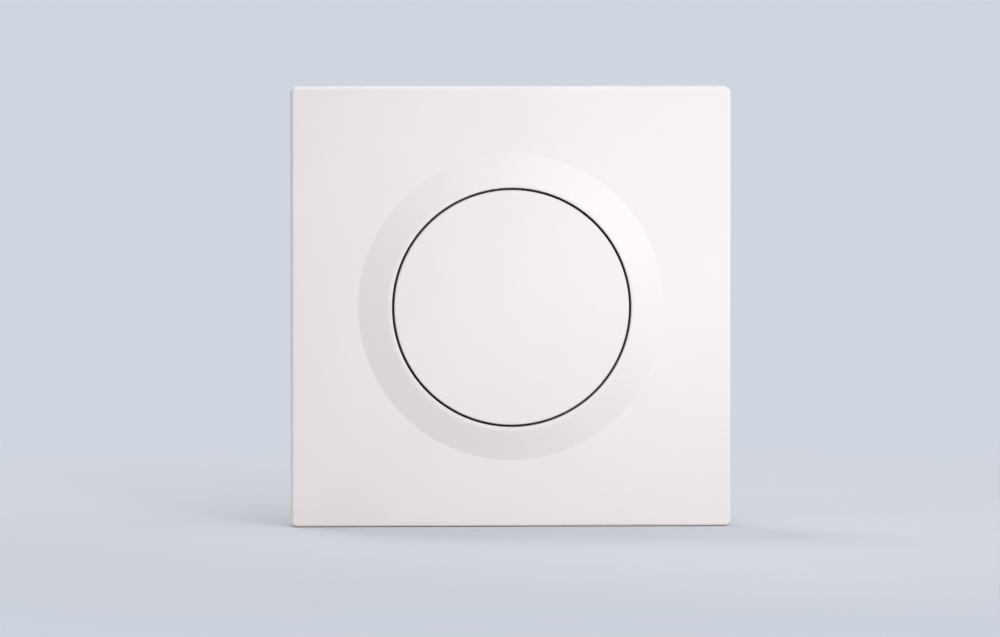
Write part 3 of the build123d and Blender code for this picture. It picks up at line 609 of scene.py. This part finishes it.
def cutDrive(shape, head):
    # one bar is cut from above for a slot; a cross has a second one
    given = shape.given
    deep = shape.times(given["Drive depth"], 2.0)   # half of the bar stands above the head
    bar = shape.block(given["Drive length"], given["Drive width"], deep)
    second = shape.node("GeometryNodeSwitch", {"input_type": "GEOMETRY"}, Switch=given["Cross"])
    shape.feed(second.inputs["False"], bar)
    shape.feed(second.inputs["True"], shape.block(given["Drive width"], given["Drive length"], deep))
    cut = shape.node("GeometryNodeMeshBoolean", {"operation": "DIFFERENCE", "solver": "EXACT"}, Mesh_1=head)
    for cutter in (bar, second.outputs[0]):
        shape.feed(cut.inputs["Mesh 2"], shape.raised(cutter, given["Head height"]))
    return cut.outputs[0]


def screwShank(shape):
    # a core with the thread wound round it; climbing with the turn makes it a right-hand thread
    length = shape.given["Length"]
    core = shape.times(shape.given["Shank radius"], screwForm["core"])
    shank = shape.raised(shape.cylinder(core, length, screwForm["coreSides"]), shape.times(length, -0.5))
    threaded = shape.times(length, screwForm["threaded"])
    turns = shape.math("DIVIDE", threaded, shape.given["Pitch"])
    ridge = shape.times(shape.given["Shank radius"], screwForm["ridge"])
    thread = shape.coil(core, turns, threaded, ridge, 0.0, screwForm["threadSides"], screwForm["threadSteps"])
    tip = shape.times(length, -(1 + screwForm["threaded"]) / 2)
    return shank, shape.raised(thread, tip)


screwShape = Shape("headed_screw", **screwSizes)
screwPieces = screwShape.node("GeometryNodeJoinGeometry")
for geometry in (cutDrive(screwShape, screwHead(screwShape)), *screwShank(screwShape)):
    screwShape.feed(screwPieces.inputs[0], geometry)
screwShape.close(screwPieces.outputs[0], towardRear)

screwSets = {
    "housing_screw_set": {"node": "housing_screws", "body": "base", "head": 2.4 * mm, "height": 1.8 * mm,
                          "shank": 1.3 * mm, "pitch": 1.1 * mm, "cross": True},
    "board_screw_set": {"node": "board_screws", "body": "base", "head": 1.7 * mm, "height": 1.2 * mm,
                        "shank": 0.9 * mm, "pitch": 0.7 * mm, "cross": True},
}
for pole in poles:
    screwSets["clamp_screw_%d" % pole] = {
        "node": "terminal_screw_%d" % pole, "body": "screw_%d" % pole, "head": 2.3 * mm, "height": 1.8 * mm,
        "shank": 1.45 * mm, "pitch": 0.5 * mm, "cross": False}
for name, look in screwSets.items():
    low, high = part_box(look["node"])
    seat = high.y - look["height"]
    # a set stands at the corners of its box, and a single screw in the middle
    across = sorted({round(low.x + look["head"], 6), round(high.x - look["head"], 6)})
    upright = sorted({round(low.z + look["head"], 6), round(high.z - look["head"], 6)})
    driveLength = screwForm["crossLength"] if look["cross"] else screwForm["slotLength"]
    settings = {
        "Head radius": look["head"],
        "Head height": look["height"],
        "Shank radius": look["shank"],
        "Length": seat - low.y,
        "Pitch": look["pitch"],
        "Drive width": look["head"] * screwForm["driveWidth"],
        "Drive length": look["head"] * driveLength,
        "Drive depth": look["height"] * screwForm["driveDepth"],
        "Cross": look["cross"],
    }
    screws = makePiece(name, screwShape, [(x, seat, z) for x in across for z in upright], zinc, settings)
    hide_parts(look["node"])
    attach(screws, look["body"])
print("spring and screws made")

# floor under the lower edge, fading out before its edge shows
floorLook = {
    "height": cadBox[0].z - 0.1 * mm,
    "radius": 1.2,
    "sides": 96,
    "colour": (0.63, 0.65, 0.7),
    "bounce": (0.64, 0.6, 0.58),    # warmer than it looks, so that it doesn't tint the plate
    "cloud": 9.0,
    "mottle": 0.015,
    "roughness": 0.85,
    "fade": (0.1, 0.4),
}
angles = [2 * math.pi * side / floorLook["sides"] for side in range(floorLook["sides"])]
rim = [(floorLook["radius"] * math.cos(angle), floorLook["radius"] * math.sin(angle), floorLook["height"])
       for angle in angles]
floorMesh = bpy.data.meshes.new("floor")
floorMesh.from_pydata(rim, [], [list(range(len(rim)))])
floor = bpy.data.objects.new("floor", floorMesh)
scene.collection.objects.link(floor)
paper = Finish("floor_paper", floorLook["roughness"])
paper.shader.inputs["Specular IOR Level"].default_value = 0.0
shade, pale = (tuple(level * part for part in floorLook["colour"])
               for level in (1 - floorLook["mottle"], 1 + floorLook["mottle"]))
mottled = paper.tones(paper.noise(floorLook["cloud"], detail=3.0), shade, pale)
paper.colour(paper.over(paper.shown(), floorLook["bounce"], mottled))
reach = paper.node("ShaderNodeVectorMath", {"operation": "LENGTH"})
paper.feed(reach.inputs[0], paper.mapped((1, 1, 0)))
fading = paper.spread(reach.outputs["Value"], *floorLook["fade"], smooth=True)
under = paper.node("ShaderNodeNewGeometry").outputs["Backfacing"]   # open from below
mixed = paper.node("ShaderNodeMixShader", Fac=paper.math("MAXIMUM", fading, under))
paper.feed(mixed.inputs[1], paper.shader.outputs["BSDF"])
paper.feed(mixed.inputs[2], paper.node("ShaderNodeBsdfTransparent").outputs[0])
paper.feed(paper.ending.inputs["Surface"], mixed.outputs[0])
floor.data.materials.append(paper.material)

# soft light from the upper right, another from above and behind, and a surround that is brighter
# to the upper right
studio = {
    "backdrop": (0.63, 0.672, 0.745),
    "dim": (0.11, 0.04, 0.0),
    "bright": {"colour": (1.0, 1.045, 1.08), "toward": (0.48, 0.0, 0.7)},
    "key": {"spot": (0.12, -0.36, 0.09), "aim": (0.03, 0.0, 0.018), "spread": 50.0, "size": 0.12,
            "power": 0.053, "tint": (1.0, 0.99, 0.985)},
    "rear": {"spot": (-0.3, 0.5, 0.9), "aim": (0.0, 0.0, 0.0), "spread": 180.0, "size": 0.4,
             "power": 2.4, "tint": (1.0, 1.0, 1.0)},
}
world = bpy.data.worlds.new("surround")
scene.world = world
world.use_nodes = True
world.node_tree.nodes.clear()
sky = Nodes(world.node_tree)
facing = sky.node("ShaderNodeVectorMath", {"operation": "DOT_PRODUCT"})
sky.feed(facing.inputs[0], sky.node("ShaderNodeTexCoord").outputs["Generated"])
sky.feed(facing.inputs[1], Vector(studio["bright"]["toward"]).normalized())
brightness = sky.spread(facing.outputs["Value"], -1.0, 1.0)
lit = sky.over(brightness, studio["dim"], studio["bright"]["colour"])
lighting = sky.node("ShaderNodeBackground", Color=lit)
backdrop = sky.node("ShaderNodeBackground", Color=(*studio["backdrop"], 1))
choice = sky.node("ShaderNodeMixShader", Fac=sky.shown())
sky.feed(choice.inputs[1], lighting.outputs[0])
sky.feed(choice.inputs[2], backdrop.outputs[0])
sky.node("ShaderNodeOutputWorld", Surface=choice.outputs[0])

for name in ("key", "rear"):
    look = studio[name]
    lamp = bpy.data.lights.new(name + "_light", "AREA")
    lamp.size = look["size"]
    lamp.energy = look["power"]
    lamp.color = look["tint"]
    lamp.spread = math.radians(look["spread"])
    holder = bpy.data.objects.new(name + "_light", lamp)
    holder.location = look["spot"]
    aim = Vector(look["aim"]) - Vector(look["spot"])
    holder.rotation_euler = aim.to_track_quat("-Z", "Y").to_euler()
    holder.visible_camera = False
    scene.collection.objects.link(holder)

# the photograph looks almost straight at the plate, from a little to the left and above
cameraLook = {
    "lens": 441.5,
    "sensor": 36.0,
    "aim": (-2.22 * mm, -9.0 * mm, -2.24 * mm),
    "distance": 2400.0 * mm,
    "left": math.radians(2.5),
    "above": math.radians(3.0),
    "clipStart": 0.01,
}
camera = bpy.data.objects.new("camera", bpy.data.cameras.new("camera"))
camera.data.lens = cameraLook["lens"]
camera.data.sensor_width = cameraLook["sensor"]
camera.data.clip_start = cameraLook["clipStart"]
level = math.cos(cameraLook["above"])
back = Vector((-math.sin(cameraLook["left"]) * level, -math.cos(cameraLook["left"]) * level,
               math.sin(cameraLook["above"])))
camera.location = Vector(cameraLook["aim"]) + back * cameraLook["distance"]
camera.rotation_euler = (-back).to_track_quat("-Z", "Y").to_euler()
scene.collection.objects.link(camera)
scene.camera = camera
scene.view_settings.view_transform = "Standard"
print("floor, light and camera set")

bpy.context.view_layer.update()
